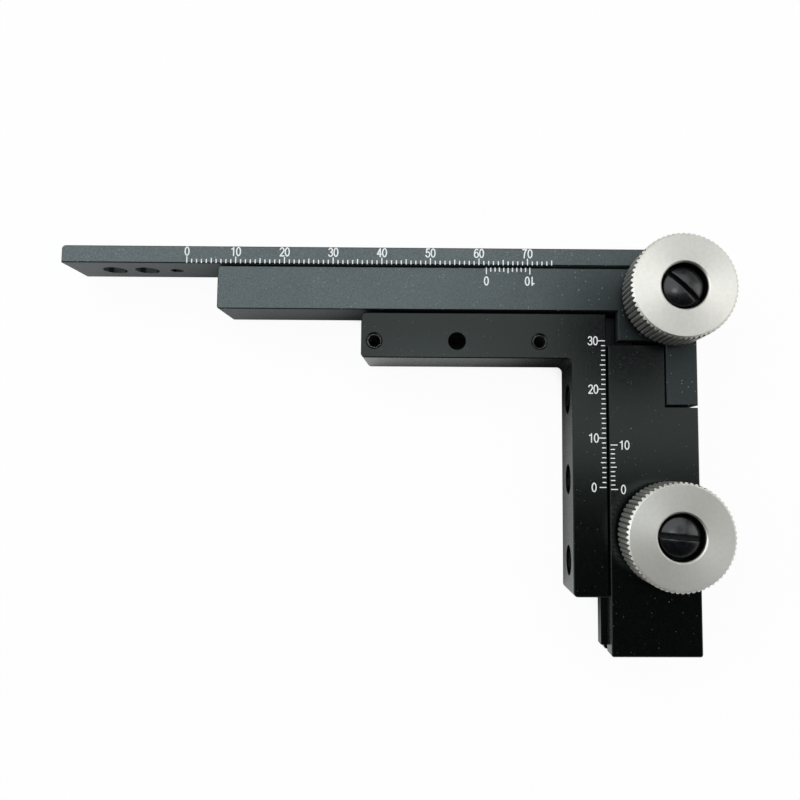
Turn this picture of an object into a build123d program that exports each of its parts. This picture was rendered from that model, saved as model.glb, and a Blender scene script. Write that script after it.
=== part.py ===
from build123d import *
import math
import os

# Mechanical microscope stage, in millimetres, lying on its back.
# The origin is on the axis of the bracket's middle hole, at the bracket's back face.
# X runs right along the long bar, Y runs up the bracket's scale and Z comes out of
# the knobs' faces. The bracket stands still. The carriage slides along Y on the
# bracket's rail, and the bar slides along X through the carriage. Each knob turns a
# pinion that meshes with a rack.

# ---- bracket -----------------------------------------------------------------
bracket_width = 50.4
bracket_height = 57.6
bracket_depth = 14.0
short_leg_height = 9.4
long_leg_width = 7.1
bracket_hole_spacing = 17.0
end_hole_to_end = 2.7
holes_below_top = 5.9
middle_hole_radius = 1.85
tapped_hole_radius = 1.35
tapped_hole_chamfer = 0.4
bracket_outer_fillet = 0.9
bracket_inner_fillet = 1.2
rail_screw_drops = (17.2, 34.1, 50.9)
rail_counterbore_radius = 3.15
rail_counterbore_depth = 3.4

# ---- rail and rack of the Y slide -------------------------------------------------
y_rail_below_front = 5.9
y_rail_neck = 3.0
y_rail_tongue = 0.85
y_rail_head_width = 6.6
y_rail_head_thickness = 3.25
y_rail_overhang = 10.2
y_rack_width = 3.4
y_rack_strip = 1.25
y_rack_end_land = 3.5

# ---- slide block and guide body -----------------------------------------------
back_step = 2.0
block_gap = 0.4
block_width = 18.3
block_height = 62.9
block_below_bracket_top = 6.4
block_lip = 2.2
guide_gap = 0.55
guide_height = 9.0
guide_length = 98.8
recess_width = 2.5
guide_block_gap = 0.8
lap_leg_width = 6.4
lap_leg_length = 13.3
lap_leg_thickness = 6.0
lap_gap = 0.45
edge_fillet = 0.5
edge_chamfer = 0.2

# ---- bar, its rail and its rack --------------------------------------------------
bar_gap = 0.25
bar_thickness = 3.6
bar_depth = 12.0
bar_proud = 0.7
bar_length = 135.5
bar_overhang = 31.85
bar_corner_fillet = 0.8
holder_hole_radius = 2.45
holder_hole_spacing = 6.8
first_holder_hole = 8.5
pin_hole_radius = 1.3
pin_hole_from_second = 6.3
holder_hole_below_front = 5.5
x_rail_below_front = 3.6
x_rail_neck = 3.0
x_rail_neck_height = 1.85
x_rail_head_width = 4.4
x_rail_head_height = 1.6
x_rail_start = 0.9
x_rack_width = 2.4
x_rack_strip = 1.65
x_rack_below_front = 6.7

# ---- gears ---------------------------------------------------------------------
module = 0.5
pinion_teeth = 16
pressure_angle = math.radians(20.0)
pinion_addendum = 0.9 * module
rack_addendum = 0.8 * module
dedendum = 1.2 * module
backlash = 0.1
y_rack_reach = 2.0
x_rack_reach = 5.1
flank_steps = 4

# ---- knobs, shafts and bearings -----------------------------------------------
knob_radius = 10.5
knob_height = 8.2
knurl_count = 64
knurl_depth = 0.38
knob_rim_chamfer = 0.5
knob_bore_radius = 4.6
knob_bore_chamfer = 0.25
knob_bore_depth = 3.6
shaft_radius = 1.5
shaft_flat = 0.4
shaft_short_of_seat = 0.8
shaft_end_gap = 0.3
bush_wall = 0.7
bush_flange_width = 1.2
cover_boss_wall = 0.7
bush_flange = 1.0
washer_radius = 5.0
washer_thickness = 1.2
knob_screw_head_gap = 0.55
knob_screw_rim = 2.2
knob_screw_dome = 0.9
knob_screw_length = 5.5
knob_slot_width = 0.95
knob_slot_depth = 1.3
y_slot_angle = -5.0
x_slot_angle = -44.0
y_knob_below_block_top = 38.4
pocket_right_wall = 0.65
y_pinion_length = 3.8
pocket_tip_gap = 0.35
cover_thickness = 1.4
cover_half_height = 7.2
cover_screw_inset = 2.0
cover_screw_left_inset = 2.8
y_cover_screw_wall = 0.7
x_cover_screw_wall = 0.15
x_cover_upper_screw_drop = 4.45

# ---- screws: shank radius, head radius, cap head height ---------------------------
M1_6 = (0.8, 1.5, 1.6)
M2 = (1.0, 1.9, 2.0)
M2_5 = (1.25, 2.25, 2.5)
rail_screw_length = 8.0
rail_washer_gap = 0.25
rail_washer_thickness = 0.5
rack_screw_length = 3.0
lap_screw_length = 7.2
lap_screw_drops = (3.7, 10.3)
cover_screw_length = 4.0
bar_rail_screw_length = 5.4
bar_rack_screw_length = 4.8
bar_rail_screw_count = 5
bar_rack_screw_count = 4
stop_dog_radius = 0.5
stop_dog_length = 0.55
stop_groove_depth = 0.6
stop_groove_width = 1.2
y_stop_from_bottom = 8.4
x_stop_from_guide_left = 69.4

# ---- running clearances and travel ----------------------------------------------
slide_clearance = 0.05
head_clearance = 0.1
shaft_clearance = 0.03
screw_clearance = 0.1
gear_side_clearance = 0.3
rail_end_clearance = 0.3
pocket_side_clearance = 0.2
travel_down = 0.5
travel_up = 30.4
travel_left = 8.4
travel_right = 61.6

# ---- places worked out from the sizes above ----------------------------------------
front = bracket_depth
tooth_pitch = math.pi * module
pitch_radius = module * pinion_teeth / 2
pocket_radius = pitch_radius + pinion_addendum + pocket_tip_gap
bush_radius = shaft_radius + bush_wall
y_rail_axis_z = front - y_rail_below_front
x_rail_axis_z = front - x_rail_below_front
holder_hole_axis_z = front - holder_hole_below_front
bracket_left = -(bracket_hole_spacing + end_hole_to_end)
bracket_right = bracket_left + bracket_width
bracket_top = holes_below_top
bracket_bottom = bracket_top - bracket_height
long_leg_left = bracket_right - long_leg_width
short_leg_bottom = bracket_top - short_leg_height

block_left = bracket_right + block_gap
block_right = block_left + block_width
block_top = bracket_top - block_below_bracket_top
block_bottom = block_top - block_height

y_neck_left = bracket_right - y_rail_tongue
y_head_left = block_left + block_lip + slide_clearance
y_head_right = y_head_left + y_rail_head_thickness
y_rail_bottom = bracket_bottom - y_rail_overhang

guide_right = block_right
guide_left = guide_right - guide_length
guide_bottom = bracket_top + guide_gap
guide_top = guide_bottom + guide_height
lower_left = bracket_right + recess_width
lower_bottom = block_top + guide_block_gap
lap_left = guide_right - lap_leg_width
lap_bottom = lower_bottom - lap_leg_length
lap_back = front - lap_leg_thickness

bar_bottom = guide_top + bar_gap
bar_top = bar_bottom + bar_thickness
bar_front = front + bar_proud
bar_back = bar_front - bar_depth
bar_left = guide_left - bar_overhang
bar_right = bar_left + bar_length
x_rail_left = guide_left + x_rail_start
x_head_top = bar_bottom - x_rail_neck_height
x_head_bottom = x_head_top - x_rail_head_height
x_rack_front_z = front - x_rack_below_front
x_rack_back_z = x_rack_front_z - x_rack_width
x_stop_x = guide_left + x_stop_from_guide_left

y_axis_x = y_head_right + y_rack_strip + dedendum + pitch_radius
y_axis_y = block_top - y_knob_below_block_top
x_axis_x = guide_right - pocket_radius - pocket_right_wall
x_axis_y = bar_bottom - x_rack_strip - dedendum - pitch_radius
x_rack_left = x_axis_x - travel_right - x_rack_reach
y_pinion_back = y_rail_axis_z - y_pinion_length / 2
y_pinion_front = y_rail_axis_z + y_pinion_length / 2
x_pinion_back = x_rack_back_z
x_pinion_front = x_rack_front_z
y_pocket_front = y_pinion_front + pocket_side_clearance
x_pocket_front = x_pinion_front + pocket_side_clearance

knob_back = front + bush_flange + washer_thickness
knob_front = knob_back + knob_height
knob_seat = knob_front - knob_bore_depth
shaft_front = knob_seat - shaft_short_of_seat
shaft_back = back_step + shaft_end_gap
cover_front = back_step + cover_thickness
y_cover_screw_left = y_head_right + head_clearance + y_cover_screw_wall + M1_6[0]
x_cover_screw_left = x_axis_x - pocket_radius - x_cover_screw_wall - M1_6[0]
y_cover_left = y_cover_screw_left - cover_screw_left_inset
x_cover_left = min(x_cover_screw_left, y_cover_screw_left) - cover_screw_left_inset


# ---- shapes --------------------------------------------------------------------
def span(x_low, x_high, y_low, y_high, z_low, z_high):
    """A block between two corners."""
    corner = Pos(x_low, y_low, z_low)
    size = (x_high - x_low, y_high - y_low, z_high - z_low)
    return corner * Box(*size, align=(Align.MIN, Align.MIN, Align.MIN))


def about_y_rail(x_low, x_high, y_low, y_high, width):
    """A block whose depth is centred on the fixed rail."""
    return span(x_low, x_high, y_low, y_high, y_rail_axis_z - width / 2, y_rail_axis_z + width / 2)


def about_x_rail(x_low, x_high, y_low, y_high, width):
    """A block whose depth is centred on the bar's rail."""
    return span(x_low, x_high, y_low, y_high, x_rail_axis_z - width / 2, x_rail_axis_z + width / 2)


def rod(x, y, z_low, z_high, radius):
    """A round rod along Z."""
    return Pos(x, y, z_low) * Cylinder(radius, z_high - z_low, align=(Align.CENTER, Align.CENTER, Align.MIN))


def ring(x, y, z_low, z_high, outer_radius, inner_radius):
    """A tube along Z."""
    return rod(x, y, z_low, z_high, outer_radius) - rod(x, y, z_low, z_high, inner_radius)


def prism(points, z_low, z_high):
    """A closed outline in X and Y, raised along Z."""
    face = Face(Wire.make_polygon([Vector(x, y, z_low) for x, y in points], close=True))
    return extrude(face, amount=z_high - z_low, dir=(0, 0, 1))


def turned(points):
    """A solid of revolution about Z from (radius, z) points."""
    outline = Wire.make_polygon([Vector(radius, 0, z) for radius, z in points], close=True)
    return revolve(Face(outline), axis=Axis.Z)


def countersink(mouth_radius):
    """A right-angled cone below Z = 0."""
    return turned([(0, 0), (mouth_radius, 0), (0, -mouth_radius)])


def corner_edges(solid, corners):
    """The edges along Z that stand at the given (x, y) corners."""
    found = []
    for edge in solid.edges().filter_by(Axis.Z):
        place = edge.center()
        if any(math.hypot(place.X - x, place.Y - y) < 0.01 for x, y in corners):
            found.append(edge)
    return found


def broken_edges(solid):
    """A fine chamfer round the front and back faces."""
    rims = solid.edges().group_by(Axis.Z)
    return chamfer(rims[0] + rims[-1], edge_chamfer)


# Frames whose Z points out of a screw's head, towards each side of the object.
def facing_left(x, y, z):
    return Pos(x, y, z) * Rot(0, -90, 0)


def facing_right(x, y, z):
    return Pos(x, y, z) * Rot(0, 90, 0)


def facing_up(x, y, z):
    return Pos(x, y, z) * Rot(-90, 0, 0)


def facing_down(x, y, z):
    return Pos(x, y, z) * Rot(90, 0, 0)


def facing_back(x, y, z):
    return Pos(x, y, z) * Rot(180, 0, 0)


def solids_of(shapes):
    """Separate solids that share one node."""
    return Compound(children=[solid for shape in shapes for solid in shape.solids()])


# ---- screws, built with the underside of the head or the flush face at Z = 0 -------
def cap_screw(thread, length):
    shank_radius, head_radius, head_height = thread
    socket_radius = 0.55 * head_radius
    socket_depth = 0.55 * head_height
    screw = rod(0, 0, -length, 0, shank_radius) + rod(0, 0, 0, head_height, head_radius)
    screw = chamfer(screw.edges().group_by(Axis.Z)[-1], 0.1 * head_height)
    socket = Pos(0, 0, head_height - socket_depth) * extrude(RegularPolygon(socket_radius, 6), socket_depth)
    return screw - socket


def flush_screw(thread, length):
    shank_radius, head_radius, _ = thread
    cone = head_radius - shank_radius
    screw = turned([(0, 0), (head_radius, 0), (shank_radius, -cone), (shank_radius, -length), (0, -length)])
    slot_depth = 0.5 * cone
    slot_half_width = 0.17 * head_radius
    slot = span(-head_radius, head_radius, -slot_half_width, slot_half_width, -slot_depth, 0)
    return screw - slot


def flush_hole(thread, clamped, length):
    """A countersink and clearance hole through the clamped piece, tapped beyond it."""
    shank_radius, head_radius, _ = thread
    clear = rod(0, 0, -clamped, 0, shank_radius + screw_clearance)
    return countersink(head_radius) + clear + rod(0, 0, -length, 0, shank_radius)


def dog_screw(thread, length):
    """A headless screw that ends in a thin plain point."""
    shank_radius, _, _ = thread
    socket_depth = 1.2
    body = rod(0, 0, -length, 0, shank_radius)
    body += rod(0, 0, -length - stop_dog_length, -length, stop_dog_radius)
    socket = Pos(0, 0, -socket_depth) * extrude(RegularPolygon(0.55 * shank_radius, 6), socket_depth)
    return body - socket


# ---- gear outlines --------------------------------------------------------------
def pinion_outline(x, y, gap_angle):
    """Involute teeth as (x, y) points, with a tooth gap centred on gap_angle in radians."""
    base_radius = pitch_radius * math.cos(pressure_angle)
    root_radius = pitch_radius - dedendum
    tip_radius = pitch_radius + pinion_addendum
    involute_at_pitch = math.tan(pressure_angle) - pressure_angle
    half_tooth = math.pi / (2 * pinion_teeth) - backlash / (4 * pitch_radius)
    flank = [(root_radius, half_tooth + involute_at_pitch)]
    for step in range(flank_steps + 1):
        radius = base_radius + (tip_radius - base_radius) * step / flank_steps
        roll = math.acos(min(1.0, base_radius / radius))
        flank.append((radius, half_tooth + involute_at_pitch - (math.tan(roll) - roll)))
    points = []
    for tooth in range(pinion_teeth):
        centre = gap_angle + (tooth + 0.5) * 2 * math.pi / pinion_teeth
        rising = [(radius, centre - half) for radius, half in flank]
        falling = [(radius, centre + half) for radius, half in reversed(flank)]
        points += [(x + r * math.cos(a), y + r * math.sin(a)) for r, a in rising + falling]
    return points


def rack_outline(start, end, first_tooth, last_tooth, tooth_centre, strip):
    """A strip with straight-flanked teeth as (along, height) points, teeth on the far side."""
    root = strip
    pitch_line = strip + dedendum
    tip = pitch_line + rack_addendum
    half_pitch_width = tooth_pitch / 4 - backlash / 4
    half_root = half_pitch_width + dedendum * math.tan(pressure_angle)
    half_tip = half_pitch_width - rack_addendum * math.tan(pressure_angle)
    low = math.ceil((first_tooth + half_root - tooth_centre) / tooth_pitch)
    high = math.floor((last_tooth - half_root - tooth_centre) / tooth_pitch)
    points = [(start, 0), (start, root)]
    for index in range(low, high + 1):
        centre = tooth_centre + index * tooth_pitch
        points += [(centre - half_root, root), (centre - half_tip, tip)]
        points += [(centre + half_tip, tip), (centre + half_root, root)]
    return points + [(end, root), (end, 0)]


# ---- fixed bracket -----------------------------------------------------------------
def rail_screw_places():
    return [(bracket_top - drop) for drop in rail_screw_drops]


def stage_bracket():
    bracket = span(bracket_left, bracket_right, short_leg_bottom, bracket_top, 0, front)
    bracket += span(long_leg_left, bracket_right, bracket_bottom, bracket_top, 0, front)
    outer = [(bracket_left, bracket_top), (bracket_left, short_leg_bottom), (long_leg_left, bracket_bottom)]
    bracket = fillet(corner_edges(bracket, [(long_leg_left, short_leg_bottom)]), bracket_inner_fillet)
    bracket = broken_edges(fillet(corner_edges(bracket, outer), bracket_outer_fillet))
    bracket -= rod(0, 0, 0, front, middle_hole_radius)
    for x in (-bracket_hole_spacing, bracket_hole_spacing):
        bracket -= rod(x, 0, 0, front, tapped_hole_radius)
        bracket -= Pos(x, 0, front) * countersink(tapped_hole_radius + tapped_hole_chamfer)
    bracket -= about_y_rail(y_neck_left, bracket_right, bracket_bottom, bracket_top, y_rail_neck)
    for y in rail_screw_places():
        through = rod(0, 0, -long_leg_width, 0, M2[0] + screw_clearance)
        seat = rod(0, 0, -rail_counterbore_depth, 0, rail_counterbore_radius)
        bracket -= facing_left(long_leg_left, y, y_rail_axis_z) * (through + seat)
    return bracket


def y_rail():
    """A T-section rail: a neck let into the bracket and a wider head inside the slide block."""
    rail = about_y_rail(y_neck_left, y_head_left, y_rail_bottom, bracket_top, y_rail_neck)
    rail += about_y_rail(y_head_left, y_head_right, y_rail_bottom, bracket_top, y_rail_head_width)
    stop_y = block_bottom + y_stop_from_bottom
    groove_end = stop_dog_radius + screw_clearance
    rail -= span(
        y_stop_x() - stop_groove_width / 2,
        y_stop_x() + stop_groove_width / 2,
        stop_y - travel_down - groove_end,
        stop_y + travel_up + groove_end,
        y_head_back(),
        y_head_back() + stop_groove_depth,
    )
    for y in rail_screw_places():
        tip = rail_seat_x() - rail_washer_thickness + rail_screw_length
        rail -= facing_left(tip, y, y_rail_axis_z) * rod(0, 0, 0, tip - y_neck_left, M2[0])
    for y in rack_screw_places():
        rail -= facing_right(y_head_right, y, y_rail_axis_z) * rod(
            0, 0, y_rack_strip - rack_screw_length, 0, M1_6[0]
        )
    return rail


def rail_seat_x():
    """Where a rail screw's washer seats, at the floor of the counterbore."""
    return long_leg_left + rail_counterbore_depth


def y_head_back():
    return y_rail_axis_z - y_rail_head_width / 2


def y_stop_x():
    return (y_head_left + y_head_right) / 2


def y_rack_ends():
    """The rack reaches past the pinion at both ends of the travel, then has a plain land."""
    reach = y_rack_reach * tooth_pitch + y_rack_end_land
    return y_axis_y - travel_down - reach, y_axis_y + travel_up + reach


def rack_screw_places():
    low, high = y_rack_ends()
    return [low + y_rack_end_land / 2, high - y_rack_end_land / 2]


def y_rack():
    low, high = y_rack_ends()
    outline = rack_outline(low, high, low + y_rack_end_land, high - y_rack_end_land, y_axis_y, y_rack_strip)
    points = [(y_head_right + height, along) for along, height in outline]
    rack = prism(points, y_rail_axis_z - y_rack_width / 2, y_rail_axis_z + y_rack_width / 2)
    for y in rack_screw_places():
        rack -= facing_right(y_head_right + y_rack_strip, y, y_rail_axis_z) * flush_hole(
            M1_6, y_rack_strip, y_rack_strip
        )
    return rack


def y_rail_screws():
    seat = rail_seat_x() - rail_washer_thickness
    screw = cap_screw(M2, rail_screw_length)
    return solids_of(facing_left(seat, y, y_rail_axis_z) * screw for y in rail_screw_places())


def y_rail_washers():
    outer_radius = rail_counterbore_radius - rail_washer_gap
    washer = ring(0, 0, 0, rail_washer_thickness, outer_radius, M2[0] + screw_clearance)
    return solids_of(facing_left(rail_seat_x(), y, y_rail_axis_z) * washer for y in rail_screw_places())


def y_rack_screws():
    face = y_head_right + y_rack_strip
    screw = flush_screw(M1_6, rack_screw_length)
    return solids_of(facing_right(face, y, y_rail_axis_z) * screw for y in rack_screw_places())


# ---- carriage ----------------------------------------------------------------------
def y_head_channel(x_low, y_low, y_high):
    """Room for the head of the fixed rail."""
    width = y_rail_head_width + 2 * slide_clearance
    return about_y_rail(x_low, y_head_right + slide_clearance, y_low, y_high, width)


def lap_screw_places():
    return [(lap_left + lap_leg_width / 2, lower_bottom - drop) for drop in lap_screw_drops]


def y_slide_block():
    block = span(block_left, block_right, block_bottom, block_top, back_step, front)
    block = broken_edges(fillet(block.edges().filter_by(Axis.Z), edge_fillet))
    neck_width = y_rail_neck + 2 * slide_clearance
    block -= about_y_rail(block_left, y_head_left, block_bottom, block_top, neck_width)
    block -= y_head_channel(y_head_left - slide_clearance, block_bottom, block_top)
    rack_width = y_rack_width + 2 * head_clearance
    tooth_reach = y_axis_x - pitch_radius + rack_addendum + gear_side_clearance
    block -= about_y_rail(y_head_right, tooth_reach, block_bottom, block_top, rack_width)
    block -= span(lap_left - lap_gap, block_right, lap_bottom - lap_gap, block_top, lap_back, front)
    block -= rod(y_axis_x, y_axis_y, back_step, y_pocket_front, pocket_radius)
    block -= rod(y_axis_x, y_axis_y, y_pocket_front, front, bush_radius)
    block -= y_cover_plate()
    for x, y in y_cover_screw_places():
        block -= facing_back(x, y, back_step) * rod(0, 0, -cover_screw_length, 0, M1_6[0])
    for x, y in lap_screw_places():
        block -= rod(x, y, back_step, back_step + M2_5[2], M2_5[1] + screw_clearance)
        block -= rod(x, y, back_step, lap_back, M2_5[0] + screw_clearance)
    block -= facing_back(y_stop_x(), block_bottom + y_stop_from_bottom, back_step) * rod(
        0, 0, -y_stop_depth(), 0, M2_5[0]
    )
    return block


def y_cover_plate():
    low = y_axis_y - cover_half_height
    high = y_axis_y + cover_half_height
    return span(y_cover_left, block_right, low, high, back_step, cover_front)


def x_cover_plate():
    return span(x_cover_left, guide_right, lower_bottom, guide_top, back_step, cover_front)


def y_cover_screw_places():
    columns = (y_cover_screw_left, block_right - cover_screw_inset)
    rows = (
        y_axis_y - cover_half_height + cover_screw_inset,
        y_axis_y + cover_half_height - cover_screw_inset,
    )
    return [(x, y) for x in columns for y in rows]


def x_cover_screw_places():
    right = guide_right - cover_screw_inset
    low = lower_bottom + cover_screw_inset
    high = guide_top - x_cover_upper_screw_drop
    return [(y_cover_screw_left, low), (right, low), (x_cover_screw_left, high)]


def rear_cover(plate, axis_x, axis_y, boss_top, screw_places):
    """A plate let into the back, with an inner boss that carries the shaft's rear bush."""
    cover = plate + rod(axis_x, axis_y, back_step, boss_top, bush_radius + cover_boss_wall)
    cover -= rod(axis_x, axis_y, back_step, boss_top, bush_radius)
    for x, y in screw_places:
        cover -= facing_back(x, y, back_step) * flush_hole(M1_6, cover_thickness, cover_thickness)
    return cover


def cover_screws(places):
    return solids_of(facing_back(x, y, back_step) * flush_screw(M1_6, cover_screw_length) for x, y in places)


def rear_bush(axis_x, axis_y, boss_top):
    return ring(axis_x, axis_y, back_step, boss_top, bush_radius, shaft_radius + shaft_clearance)


def front_bush(axis_x, axis_y, pocket_front):
    bush = rod(axis_x, axis_y, pocket_front, front, bush_radius)
    bush += rod(axis_x, axis_y, front, front + bush_flange, bush_radius + bush_flange_width)
    return bush - rod(axis_x, axis_y, pocket_front, front + bush_flange, shaft_radius + shaft_clearance)


def y_boss_top():
    return y_pinion_back - gear_side_clearance


def x_boss_top():
    return x_pinion_back - gear_side_clearance


def stop_screw_length(depth):
    """The plain end stands inside the rail's groove, clear of its floor."""
    return depth - stop_dog_length + stop_groove_depth - screw_clearance


def y_stop_depth():
    """From the block's back face to the back of the rail's head."""
    return y_head_back() - back_step


def y_stop_screw():
    screw = dog_screw(M2_5, stop_screw_length(y_stop_depth()))
    return facing_back(y_stop_x(), block_bottom + y_stop_from_bottom, back_step) * screw


def x_guide_body():
    guide = span(guide_left, guide_right, guide_bottom, guide_top, back_step, front)
    guide += span(lower_left, guide_right, lower_bottom, guide_bottom, back_step, front)
    guide += span(lap_left, guide_right, lap_bottom, lower_bottom, lap_back, front)
    left_corners = [(guide_left, guide_bottom), (guide_left, guide_top)]
    guide = broken_edges(fillet(corner_edges(guide, left_corners), edge_fillet))
    head_low = x_head_bottom - head_clearance
    head_high = x_head_top + head_clearance
    head_width = x_rail_head_width + 2 * slide_clearance
    guide -= about_x_rail(guide_left, guide_right, head_low, head_high, head_width)
    guide -= about_x_rail(guide_left, guide_right, x_head_top, guide_top, x_rail_neck + 2 * slide_clearance)
    tooth_reach = x_axis_y + pitch_radius - rack_addendum - gear_side_clearance
    guide -= span(
        guide_left,
        guide_right,
        tooth_reach,
        guide_top,
        x_rack_back_z - gear_side_clearance,
        x_rack_front_z + gear_side_clearance,
    )
    guide -= y_head_channel(lower_left, lower_bottom, bracket_top + travel_down + rail_end_clearance)
    guide -= rod(x_axis_x, x_axis_y, back_step, x_pocket_front, pocket_radius)
    guide -= rod(x_axis_x, x_axis_y, x_pocket_front, front, bush_radius)
    guide -= x_cover_plate()
    for x, y in x_cover_screw_places():
        guide -= facing_back(x, y, back_step) * rod(0, 0, -cover_screw_length, 0, M1_6[0])
    for x, y in lap_screw_places():
        guide -= rod(x, y, lap_back, lap_screw_seat() + lap_screw_length, M2_5[0])
    guide -= facing_down(x_stop_x, guide_bottom, x_rail_axis_z) * rod(
        0, 0, guide_bottom - x_head_bottom, 0, M2_5[0]
    )
    return guide


def lap_screw_seat():
    """Depth of the lap screws' counterbores, measured along Z."""
    return back_step + M2_5[2]


def carriage_screws():
    return solids_of(
        facing_back(x, y, lap_screw_seat()) * cap_screw(M2_5, lap_screw_length) for x, y in lap_screw_places()
    )


def x_stop_screw():
    screw = dog_screw(M2_5, stop_screw_length(x_head_bottom - guide_bottom))
    return facing_down(x_stop_x, guide_bottom, x_rail_axis_z) * screw


# ---- knobs ---------------------------------------------------------------------------
def knurled_knob(x, y):
    """A straight-knurled disc with chamfered rims, a wide bore in front and a D-shaped hub bore."""
    valley = knob_radius - knurl_depth
    outline = []
    for tooth in range(knurl_count):
        tip_angle = 2 * math.pi * tooth / knurl_count
        valley_angle = tip_angle + math.pi / knurl_count
        outline.append((knob_radius * math.cos(tip_angle), knob_radius * math.sin(tip_angle)))
        outline.append((valley * math.cos(valley_angle), valley * math.sin(valley_angle)))
    rim = knob_radius - knob_rim_chamfer
    envelope = turned(
        [
            (0, knob_back),
            (rim, knob_back),
            (knob_radius, knob_back + knob_rim_chamfer),
            (knob_radius, knob_front - knob_rim_chamfer),
            (rim, knob_front),
            (0, knob_front),
        ]
    )
    mouth = knob_bore_radius + knob_bore_chamfer
    bore = turned(
        [
            (0, knob_seat),
            (knob_bore_radius, knob_seat),
            (knob_bore_radius, knob_front - knob_bore_chamfer),
            (mouth, knob_front),
            (0, knob_front),
        ]
    )
    knob = prism(outline, knob_back, knob_front) & envelope
    knob -= bore
    knob -= flatted_rod(knob_back, knob_seat)
    return Pos(x, y, 0) * knob


def flatted_rod(z_low, z_high):
    """A rod on the Z axis with one flat, which drives the knob."""
    flat_x = shaft_radius - shaft_flat
    return rod(0, 0, z_low, z_high, shaft_radius) - span(
        flat_x, shaft_radius, -shaft_radius, shaft_radius, z_low, z_high
    )


def pinion_shaft(x, y):
    shaft = rod(0, 0, shaft_back, knob_back, shaft_radius) + flatted_rod(knob_back, shaft_front)
    shaft -= rod(0, 0, knob_seat - knob_screw_length, shaft_front, M2[0])
    return Pos(x, y, 0) * shaft


def knob_screw(x, y, slot_angle):
    """A slotted screw with a domed head, sunk in the knob's bore."""
    head_radius = knob_bore_radius - knob_screw_head_gap
    head_top = knob_seat + knob_screw_rim
    sphere_radius = (head_radius**2 + knob_screw_dome**2) / (2 * knob_screw_dome)
    dome_centre = head_top + knob_screw_dome - sphere_radius
    dome = Pos(0, 0, dome_centre) * Sphere(sphere_radius)
    head = rod(0, 0, knob_seat, head_top + knob_screw_dome, head_radius) & dome
    screw = head + rod(0, 0, knob_seat - knob_screw_length, knob_seat, M2[0])
    slot_floor = head_top + knob_screw_dome - knob_slot_depth
    slot = Box(2 * head_radius, knob_slot_width, 2 * knob_slot_depth)
    screw -= Pos(0, 0, slot_floor + knob_slot_depth) * Rot(0, 0, slot_angle) * slot
    return Pos(x, y, 0) * screw


def drag_washer(x, y):
    return ring(x, y, front + bush_flange, knob_back, washer_radius, shaft_radius)


def pinion(x, y, z_low, z_high, gap_angle):
    return prism(pinion_outline(x, y, gap_angle), z_low, z_high) - rod(x, y, z_low, z_high, shaft_radius)


# ---- bar -----------------------------------------------------------------------------
def holder_hole_places():
    first = bar_left + first_holder_hole
    return [first, first + holder_hole_spacing]


def evenly(low, high, count):
    """Places spread evenly from low to high."""
    return [low + (high - low) * index / (count - 1) for index in range(count)]


def rail_screw_columns():
    inset = 3.0
    return evenly(x_rail_left + inset, bar_right - inset, bar_rail_screw_count)


def rack_screw_columns():
    inset = 6.0
    return evenly(x_rack_left + inset, bar_right - inset, bar_rack_screw_count)


def x_slide_bar():
    bar = span(bar_left, bar_right, bar_bottom, bar_top, bar_back, bar_front)
    upper_corners = [(bar_left, bar_top), (bar_right, bar_top)]
    bar = broken_edges(fillet(corner_edges(bar, upper_corners), bar_corner_fillet))
    for x in holder_hole_places():
        bar -= facing_up(x, bar_top, holder_hole_axis_z) * rod(0, 0, -bar_thickness, 0, holder_hole_radius)
    pin_x = holder_hole_places()[1] + pin_hole_from_second
    bar -= facing_up(pin_x, bar_top, holder_hole_axis_z) * rod(0, 0, -bar_thickness, 0, pin_hole_radius)
    hole = flush_hole(M1_6, bar_thickness, bar_thickness)
    for x in rail_screw_columns():
        bar -= facing_up(x, bar_top, x_rail_axis_z) * hole
    for x in rack_screw_columns():
        bar -= facing_up(x, bar_top, x_rack_middle_z()) * hole
    return bar


def x_rack_middle_z():
    return (x_rack_front_z + x_rack_back_z) / 2


def x_rail():
    """A T-section rail that hangs from the bar, with a stop groove along its lower face."""
    rail = about_x_rail(x_rail_left, bar_right, x_head_top, bar_bottom, x_rail_neck)
    rail += about_x_rail(x_rail_left, bar_right, x_head_bottom, x_head_top, x_rail_head_width)
    groove_left = x_stop_x - travel_right - stop_dog_radius - screw_clearance
    groove_right = x_stop_x + travel_left + stop_dog_radius + screw_clearance
    groove_top = x_head_bottom + stop_groove_depth
    rail -= about_x_rail(groove_left, groove_right, x_head_bottom, groove_top, stop_groove_width)
    for x in rail_screw_columns():
        depth = bar_rail_screw_length - bar_thickness
        rail -= facing_up(x, bar_bottom, x_rail_axis_z) * rod(0, 0, -depth, 0, M1_6[0])
    return rail


def x_rack():
    outline = rack_outline(x_rack_left, bar_right, x_rack_left, bar_right, x_axis_x, x_rack_strip)
    rack = prism([(along, bar_bottom - height) for along, height in outline], x_rack_back_z, x_rack_front_z)
    for x in rack_screw_columns():
        depth = bar_rack_screw_length - bar_thickness
        rack -= facing_up(x, bar_bottom, x_rack_middle_z()) * rod(0, 0, -depth, 0, M1_6[0])
    return rack


def bar_screws(columns, z, length):
    return solids_of(facing_up(x, bar_top, z) * flush_screw(M1_6, length) for x in columns)


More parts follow.
